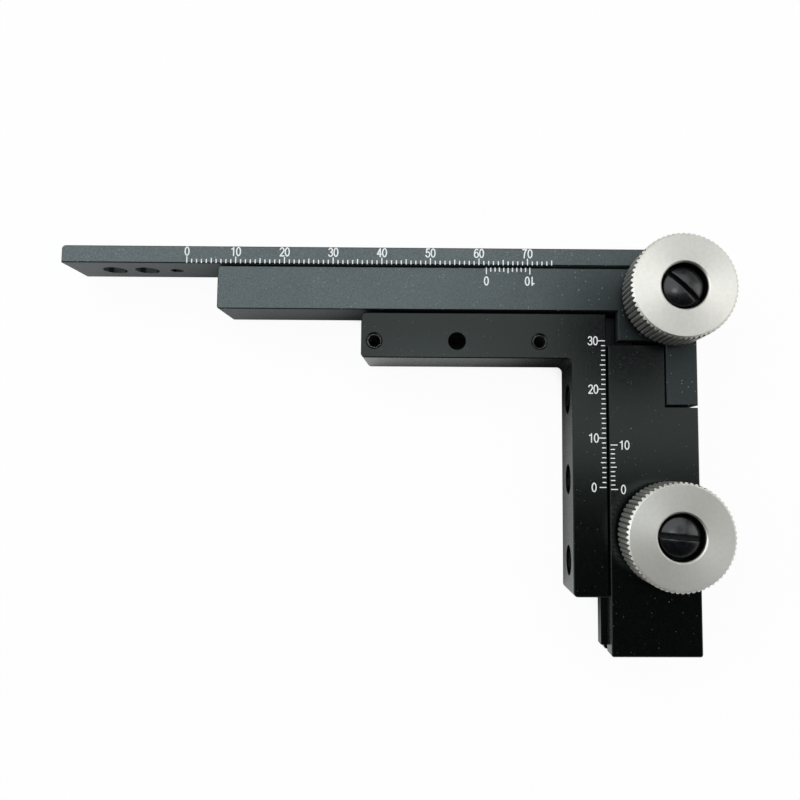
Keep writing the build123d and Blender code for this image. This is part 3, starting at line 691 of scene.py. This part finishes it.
def scale_lengths(numbers, long, middle, short):
    """A mark's length by its number: the tens are long, the fives middling."""
    return np.where(numbers % 10 == 0, long, np.where(numbers % 5 == 0, middle, short))


def marks(places, foot, tips, width, face, upright=False):
    """Beads at places along a scale, from the foot that they share to their own tips.
    The places are x values and the rest y values, or the reverse on an upright scale."""
    feet = np.full(len(places), foot)
    starts, ends = np.stack([places, feet], 1), np.stack([places, tips], 1)
    if upright:
        starts, ends = starts[:, ::-1], ends[:, ::-1]
    return beads(starts, ends, width, face)


X_VERNIER_ZERO, X_VERNIER_TOP = 6.02, 15.45
Y_ZERO, BRACKET_EDGE = -29.76, 30.45
Y_VERNIER_ZERO, Y_VERNIER_EDGE = -30.16, 31.3
VERNIER_STEP = 0.9

bar_numbers = np.arange(76)
bar_marks = marks(
    BAR_ZERO + bar_numbers,
    BAR_FOOT + STROKE / 2,
    BAR_FOOT - STROKE / 2 + scale_lengths(bar_numbers, 1.45, 1.15, 0.92),
    BAR_STROKE,
    BAR_FACE,
)

bracket_numbers = np.arange(31)
bracket_marks = marks(
    Y_ZERO + bracket_numbers,
    BRACKET_EDGE - FINE_STROKE / 2,
    BRACKET_EDGE + FINE_STROKE / 2 - scale_lengths(bracket_numbers, 1.45, 1.15, 0.88),
    FINE_STROKE,
    FRONT,
    upright=True,
)

vernier_numbers = np.arange(11)
vernier_reach = scale_lengths(vernier_numbers, 1.5, 1.25, 0.95)
x_vernier_marks = marks(
    X_VERNIER_ZERO + VERNIER_STEP * vernier_numbers,
    X_VERNIER_TOP - STROKE / 2,
    X_VERNIER_TOP + STROKE / 2 - vernier_reach,
    BAR_STROKE,
    FRONT,
)
y_vernier_marks = marks(
    Y_VERNIER_ZERO + VERNIER_STEP * vernier_numbers,
    Y_VERNIER_EDGE + FINE_STROKE / 2,
    Y_VERNIER_EDGE - FINE_STROKE / 2 + vernier_reach,
    FINE_STROKE,
    FRONT,
    upright=True,
)
scales = (bar_marks, bracket_marks, x_vernier_marks, y_vernier_marks)
print("marks", sum(len(scale) for scale in scales))

# %% [markdown]
# ## Numerals
# An engraving cutter follows a template along the middle of each stroke, so a numeral
# is a set of centre lines, and its outline is wherever a round cutter of one width
# went. A font would give other shapes. The centre lines here are arcs and straight
# lines in a box one unit wide and one high, for a narrow plain alphabet of numerals.

# %% Numerals
DIGIT_WIDTH, DIGIT_HEIGHT, DIGIT_STEP = 0.80, 1.70, 1.08
BAR_ROW, X_VERNIER_ROW = 18.18, 12.60


def arc(x, y, radius_x, radius_y, start, end, steps):
    """Part of an ellipse: its centre plus its radii times the cosine and the sine of an
    angle, which goes from start to end in degrees."""
    angle = np.radians(np.linspace(start, end, steps))
    return np.stack([x + radius_x * np.cos(angle), y + radius_y * np.sin(angle)], axis=1)


def line(*points):
    """A broken line through points."""
    return np.array(points, float)


DIGITS = {
    "0": [arc(0.5, 0.5, 0.5, 0.5, 0, 360, 25)],
    "1": [line((0.60, 0.0), (0.60, 1.0)), arc(0.12, 1.04, 0.48, 0.24, -90, -10, 6)],
    "2": [
        np.vstack([arc(0.5, 0.70, 0.47, 0.30, 165, -25, 14), [(0.52, 0.32), (0.02, 0.0)]]),
        line((0.02, 0.0), (1.0, 0.0)),
    ],
    "3": [
        arc(0.47, 0.755, 0.43, 0.245, 160, -90, 14),
        arc(0.47, 0.255, 0.50, 0.255, 90, -160, 14),
    ],
    "4": [
        line((0.74, 0.0), (0.74, 1.0)),
        line((0.74, 1.0), (0.0, 0.31)),
        line((0.0, 0.31), (1.0, 0.31)),
    ],
    "5": [
        line((0.92, 1.0), (0.22, 1.0)),
        line((0.22, 1.0), (0.10, 0.54)),
        arc(0.47, 0.32, 0.52, 0.32, 135, -160, 16),
    ],
    "6": [arc(0.5, 0.31, 0.5, 0.31, 0, 360, 21), arc(0.60, 0.42, 0.60, 0.58, 60, 180, 12)],
    "7": [line((0.0, 1.0), (1.0, 1.0)), arc(1.25, -0.05, 0.92, 1.10, 108, 178, 10)],
}


def stroke(path, width, face):
    """A bead along a path: rings across the mean direction at each point. An open path
    gets round ends, where the ring shrinks by the cosine of an angle."""
    ways = np.diff(path, axis=0)
    ways /= np.linalg.norm(ways, axis=1, keepdims=True)
    closed = np.allclose(path[0], path[-1])
    before = np.vstack([ways[-1:] if closed else ways[:1], ways])
    after = np.vstack([ways, ways[:1] if closed else ways[-1:]])
    heading = before + after
    heading /= np.linalg.norm(heading, axis=1, keepdims=True)
    size = np.ones(len(path))
    if not closed:
        cap = np.radians([90.0, 60.0, 30.0])
        out_start = path[0] - heading[0] * (np.sin(cap) * width / 2)[:, None]
        out_end = path[-1] + heading[-1] * (np.sin(cap[::-1]) * width / 2)[:, None]
        path = np.vstack([out_start, path, out_end])
        heading = heading[[0] * len(cap) + list(range(len(heading))) + [-1] * len(cap)]
        size = np.concatenate([np.cos(cap), size, np.cos(cap[::-1])])
    across = np.stack([-heading[:, 1], heading[:, 0]], axis=1)
    turn = np.linspace(0, 2 * np.pi, 9)
    aside = (np.cos(turn) * width / 2)[None, :, None]
    flat = path[:, None, :] + across[:, None, :] * aside * size[:, None, None]
    lift = face + PROUD * np.sin(turn)[None, :] * size[:, None]
    return np.concatenate([flat, lift[:, :, None]], axis=2)


def numeral(text, centre_x, centre_y, face, width=STROKE, upside_down=False):
    """The strokes of a number, centred on a point. Upside down is a half turn about
    that point."""
    grids = []
    start = -(len(text) - 1) / 2 * DIGIT_STEP
    for index, digit in enumerate(text):
        for path in DIGITS[digit]:
            local = (path - 0.5) * (DIGIT_WIDTH, DIGIT_HEIGHT)
            local = local + (start + index * DIGIT_STEP, 0.0)
            local = -local if upside_down else local
            grids.append(stroke(local + (centre_x, centre_y), width, face))
    return grids


for value in range(0, 80, 10):
    bar_marks += numeral(str(value), BAR_ZERO + value, BAR_ROW, BAR_FACE)
for value, text in ((0, "0"), (9, "10")):
    place = X_VERNIER_ZERO + value, X_VERNIER_ROW
    x_vernier_marks += numeral(text, *place, FRONT, upside_down=True)
for value, x in ((0, 27.90), (10, 27.92), (20, 27.92), (30, 27.92)):
    bracket_marks += numeral(str(value), x, Y_ZERO + value, FRONT, BAR_STROKE)
for value, text, x in ((0, "0", 33.85), (9, "10", 34.15)):
    y_vernier_marks += numeral(text, x, Y_VERNIER_ZERO + value, FRONT, BAR_STROKE)

piece("bar_scale", bar_marks, enamel, "x_bar")
piece("x_vernier_scale", x_vernier_marks, enamel, "y_carriage")
piece("bracket_scale", bracket_marks, enamel, "bracket")
piece("y_vernier_scale", y_vernier_marks, enamel, "y_carriage")

# %% [markdown]
# ## Turned aluminium
# The knobs are turned on a lathe, which leaves rings too fine to see one by one. They
# spread a reflection across the rings and hardly along them, so the flat face shows
# soft fans of light that meet at the centre. An anisotropic shader does that, told
# which way the rings run by the knob's own map. The rings are about 0.05 mm apart on
# the real face, and are drawn at 0.16 mm so that a trace of them shows. The knurled
# wall has no rings. Its valleys and the bore are darkened with painted shade.

# %% Turned aluminium
KNURLS = 64
RING_PITCH = 0.16
BORE_FROM, BORE_DARKEST, BORE_TO = 14.2, 14.9, 25.0

turned_aluminium, tree, out = new_material("Aluminium, turned and knurled")
flat_map = add(tree, "ShaderNodeUVMap", uv_map="turned")
parts = add(tree, "ShaderNodeSeparateXYZ", {0: flat_map.outputs[0]})
around, along = parts.outputs["X"], parts.outputs["Y"]
coordinates = add(tree, "ShaderNodeTexCoord")
mottle = noise(tree, coordinates.outputs["Object"], 0.7, 4.0)
level_share = levelness(tree, coordinates)
# On the profile, the bore lies between two lengths in mm, and it is darkened as painted
# shade.
sunk = remap(tree, along, BORE_FROM, BORE_DARKEST)
dirt_and_shade = calculate(tree, "MULTIPLY", sunk, calculate(tree, "LESS_THAN", along, BORE_TO))
# The share of a turn times the number of knurls, folded at the half, is 0 on a crest
# and 0.5 in a valley. On the steep wall the valleys are darkened as painted shade.
ridge = calculate(tree, "MULTIPLY", around, float(KNURLS))
deep = remap(tree, calculate(tree, "PINGPONG", ridge, 0.5), 0.28, 0.46, 0.0, 0.85)
steep = remap(tree, level_share, 0.2, 0.6, 1.0, 0.0)
valley = calculate(tree, "MULTIPLY", deep, steep)
tone = blend(tree, mottle, "#dbdad3", "#cfccc5")
# Painted shade: the bore and then the knurl valleys are blended towards near black.
tone = blend(tree, dirt_and_shade, tone, "#2a2925")
tone = blend(tree, valley, tone, "#24241f")
# The wall is rolled, which leaves it smoother than the cut faces.
rolled = remap(tree, level_share, 0.3, 0.9, -0.08, 0.0)
worn = remap(tree, mottle, 0.3, 0.7, 0.40, 0.46)
# The rings are a noise of the length along the profile, and they are on the faces only.
ring_place = calculate(tree, "MULTIPLY", along, 1.0 / RING_PITCH)
ring_noise = {"W": ring_place, "Scale": 1.0, "Detail": 2.0}
rings = add(tree, "ShaderNodeTexNoise", ring_noise, noise_dimensions="1D").outputs[0]
cut = remap(tree, level_share, 0.3, 0.9)
way = add(tree, "ShaderNodeTangent", direction_type="UV_MAP", uv_map="turned")
cover(
    tree,
    out,
    Base_Color=tone,
    Metallic=1.0,
    Roughness=calculate(tree, "ADD", worn, rolled),
    Anisotropic=0.6,
    Anisotropic_Rotation=0.25,
    Tangent=way.outputs[0],
    Normal=bumps(tree, calculate(tree, "MULTIPLY", rings, cut), 0.5, 0.006),
)
print(turned_aluminium.name, "rings", RING_PITCH, "mm")

# %% [markdown]
# ## Knobs
# A straight knurl is rolled into the rim: 64 ridges with flat lands and V-shaped
# valleys. A chamfer cut afterwards runs through them, so its edge is scalloped. That is
# one surface of two parameters, the angle round the knob and the height up its side,
# whose radius is the smaller of the knurl's and the chamfer's. The face, bore and back
# carry on along the same profile, so the whole knob is one closed skin.

# %% Knobs
KNOB_RADIUS, KNURL_DEPTH, LAND = 10.5, 0.36, 0.36
KNURL_STEPS = 12
KNOB_BACK, KNOB_FRONT, RIM = 16.2, 24.4, 0.5
BORE_RADIUS, MOUTH, SEAT, SHAFT_HOLE = 4.6, 4.85, 20.8, 1.52
KNOB_CENTRES = {"y": (42.45, -38.9), "x": (43.95, 9.45)}


def knurl(angle):
    """How deep the knurl cuts, from 0 on a crest to 1 in a valley: a triangle wave
    clipped below the land's share, which leaves a flat land on each crest, stretched
    back to 1 and eased by adding 0.4 of its sine to 0.6 of itself."""
    share = (angle * KNURLS / (2 * np.pi)) % 1.0
    triangle = 1.0 - np.abs(2.0 * share - 1.0)
    groove = np.clip((triangle - LAND) / (1.0 - LAND), 0.0, 1.0)
    return 0.6 * groove + 0.4 * np.sin(groove * np.pi / 2)


def knob_surface(centre):
    """Points of a knob, profile by angle. On the rim the radius is the smaller of the
    knurled radius and the chamfer's, which loses what the height goes past it. On the
    rest of the profile, which is a list of radius and height from the face through the
    bore to the back, the radius doesn't change with the angle. The rows at 8.2, 6.4,
    22.4 and 6.0 mm only divide long flats."""
    angle = np.linspace(0, 2 * np.pi, KNURLS * KNURL_STEPS + 1)
    rows = np.concatenate(
        [
            np.linspace(KNOB_BACK, KNOB_BACK + RIM, 9),
            np.linspace(KNOB_BACK + RIM, KNOB_FRONT - RIM, 5)[1:-1],
            np.linspace(KNOB_FRONT - RIM, KNOB_FRONT - 0.02, 11),
        ]
    )
    past = np.maximum(KNOB_BACK + RIM - rows, rows - KNOB_FRONT + RIM).clip(0)
    cut = KNOB_RADIUS - KNURL_DEPTH * knurl(angle)
    radius = np.minimum(cut[None, :], (KNOB_RADIUS - past)[:, None])
    height = np.broadcast_to(rows[:, None], radius.shape)
    rim = KNOB_RADIUS - RIM
    profile = np.array(
        [
            (rim - 0.02, KNOB_FRONT),
            (rim - 0.06, KNOB_FRONT),
            (8.2, KNOB_FRONT),
            (6.4, KNOB_FRONT),
            (MOUTH + 0.10, KNOB_FRONT),
            (MOUTH + 0.05, KNOB_FRONT),
            (MOUTH, KNOB_FRONT - 0.03),
            (BORE_RADIUS + 0.03, KNOB_FRONT - 0.22),
            (BORE_RADIUS, KNOB_FRONT - 0.29),
            (BORE_RADIUS, 22.4),
            (BORE_RADIUS, SEAT + 0.12),
            (BORE_RADIUS - 0.12, SEAT),
            (BORE_RADIUS - 0.2, SEAT),
            (SHAFT_HOLE, SEAT),
            (SHAFT_HOLE, KNOB_BACK),
            (6.0, KNOB_BACK),
            (rim - 0.06, KNOB_BACK),
            (rim, KNOB_BACK),
        ]
    )
    inner = np.broadcast_to(profile[:, :1], (len(profile), len(angle)))
    inner_height = np.broadcast_to(profile[:, 1:], inner.shape)
    radius = np.vstack([radius, inner])
    height = np.vstack([height, inner_height])
    x = centre[0] + radius * np.cos(angle)
    y = centre[1] + radius * np.sin(angle)
    return np.stack([x, y, height], axis=2)


for axis, centre in KNOB_CENTRES.items():
    made = piece(
        f"{axis}_turned_knob",
        [knob_surface(centre)],
        turned_aluminium,
        f"{axis}_knob",
        uv=True,
    )
    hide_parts(f"{axis}_knob")

# %% [markdown]
# ## Screws in the knobs
# Each knob is held by a screw with a domed, slotted head of blackened steel, dipped in
# oil, which makes it the only glossy black on the object. The head is one sheet over a
# disc: lines along the slot are laid side by side, each as long as the disc is wide
# there, and each has its height. Where the slot is, the height drops to its floor. The
# lines at the slot's two lips are close together, so the lips are rounded. Dirt has
# dulled the slot's floor, so it is rough and the dome is not.

# %% Blackened screws
DIRTY_BELOW, CLEAN_ABOVE = 22.1, 22.6

oiled_black, tree, out = new_material("Blackened steel, oiled")
place = add(tree, "ShaderNodeTexCoord").outputs["Object"]
mottle = noise(tree, place, 0.8, 3.0)
parts = add(tree, "ShaderNodeSeparateXYZ", {0: place})
dirt_and_shade = remap(tree, parts.outputs["Z"], DIRTY_BELOW * MM, CLEAN_ABOVE * MM, 0.5, 0.0)
worn = remap(tree, mottle, 0.3, 0.7, 0.20, 0.30)
cover(
    tree,
    out,
    Base_Color=blend(tree, mottle, "#050607", "#0b0c0e"),
    Roughness=calculate(tree, "ADD", worn, dirt_and_shade),
    IOR=1.56,
    Normal=bumps(tree, mottle, 0.4, 0.012),
)

HEAD_RADIUS, HEAD_SIDE, DOME = 4.05, 2.2, 0.9
EDGE_WIDTH, EDGE_DROP = 0.25, 0.18
SLOT_WIDTH, SLOT_DEPTH, LIP, CLEARANCE = 0.95, 2.0, 0.07, 0.1
SHANK = dict(low=SEAT - 5.5, high=SEAT, radius=1.0, pitch=0.4, depth=0.1, wall=0.0)
SLOT_ANGLES = {"y": -5.0, "x": -44.0}


def screw_head(centre, angle):
    """Three grids of a screw's head: the domed top, the side below its edge, and the
    flat underside. Over the top, x is across the slot and y is the disc's half width
    there times the sine of a parameter. The height is a sphere's, less a quarter round
    at the rim, and in the slot it is the slot's floor."""
    half = SLOT_WIDTH / 2
    sphere = (HEAD_RADIUS**2 + DOME**2) / (2 * DOME)
    outside = HEAD_RADIUS * np.cos(np.radians(np.linspace(0, 90, 15)))
    outside = outside[outside > half + LIP + CLEARANCE]
    lip = np.radians(np.array([90.0, 60.0, 30.0, 0.0]))
    lip_x = half + LIP - LIP * np.cos(lip)
    lip_drop = LIP - LIP * np.sin(lip)
    x = np.concatenate([outside, lip_x, [half, 0.0]])
    drop = np.concatenate([np.zeros(len(outside)), lip_drop, [np.inf, np.inf]])
    x = np.concatenate([x, -x[-2::-1]])
    drop = np.concatenate([drop, drop[-2::-1]])
    across = np.sin(np.radians(np.linspace(-90, 90, 25)))
    reach = np.sqrt(np.clip(HEAD_RADIUS**2 - x**2, 0, None))
    y = reach[:, None] * across[None, :]
    grid_x = np.broadcast_to(x[:, None], y.shape)
    distance = np.minimum(np.hypot(grid_x, y), HEAD_RADIUS)
    crown = SEAT + HEAD_SIDE + DOME
    edge = np.clip((distance - HEAD_RADIUS + EDGE_WIDTH) / EDGE_WIDTH, 0, 1)
    height = crown - sphere + np.sqrt(sphere**2 - distance**2)
    height = height - EDGE_DROP * (1 - np.sqrt(1 - edge**2))
    height = np.maximum(height - drop[:, None], crown - SLOT_DEPTH)
    top = np.stack([grid_x, y, height], axis=2)
    rim = np.concatenate([top[:, -1], top[::-1, 0], top[:1, -1]])
    foot = rim * (1, 1, 0) + (0, 0, SEAT)
    side = np.stack([rim, foot])
    under = top * (1, 1, 0) + (0, 0, SEAT)
    turned = math.radians(angle - 90)
    cosine, sine = math.cos(turned), math.sin(turned)
    spin = np.array([[cosine, sine, 0], [-sine, cosine, 0], [0, 0, 1]])
    return [grid @ spin + (centre[0], centre[1], 0) for grid in (top, side, under)]


def thread(centre, low, high, radius, pitch, depth, wall):
    """A screw thread as a closed skin. Its ridge is a triangle wave of the height
    divided by the pitch less the share of a turn, faded out over one pitch at each
    end. wall is the plain radius that closes the skin behind: when it is smaller, the
    thread is an outer one, else an inner one."""
    angle = np.linspace(0, 2 * np.pi, 25)
    rows = np.linspace(low, high, int((high - low) / pitch * 6) + 1)
    phase = (rows[:, None] / pitch - angle[None, :] / (2 * np.pi)) % 1.0
    ridge = 1.0 - np.abs(2.0 * phase - 1.0)
    fade = np.clip(np.minimum(rows - low, high - rows) / pitch, 0, 1)[:, None]
    wave = radius - depth * (1.0 - ridge if wall < radius else ridge) * fade
    closing = np.full((1, len(angle)), wall)
    radii = np.vstack([closing, wave, closing, closing])
    heights = np.concatenate([[low], rows, [high], [low]])
    heights = np.broadcast_to(heights[:, None], radii.shape)
    x = centre[0] + radii * np.cos(angle)
    y = centre[1] + radii * np.sin(angle)
    return np.stack([x, y, heights], axis=2)


for axis, centre in KNOB_CENTRES.items():
    grids = screw_head(centre, SLOT_ANGLES[axis])
    grids.append(thread(centre, **SHANK))
    made = piece(f"{axis}_domed_screw", grids, oiled_black, f"{axis}_knob")
    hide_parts(f"{axis}_knob_screw")

# %% [markdown]
# ## Threads in the bracket
# The two ringed holes of the bracket are tapped. A thread is a ridge that climbs one
# pitch for each turn, so it is a surface of the angle and the height. It is laid just
# inside the drilled hole, below the countersink.

# %% Tapped holes
TAPPED_PLACES = ((-17.0, 0.0), (17.0, 0.0))
TAP = dict(low=0.5, high=13.55, radius=1.33, pitch=0.5, depth=0.10, wall=1.40)
tapped = [thread(spot, **TAP) for spot in TAPPED_PLACES]
piece("tapped_threads", tapped, bright_steel, "bracket")
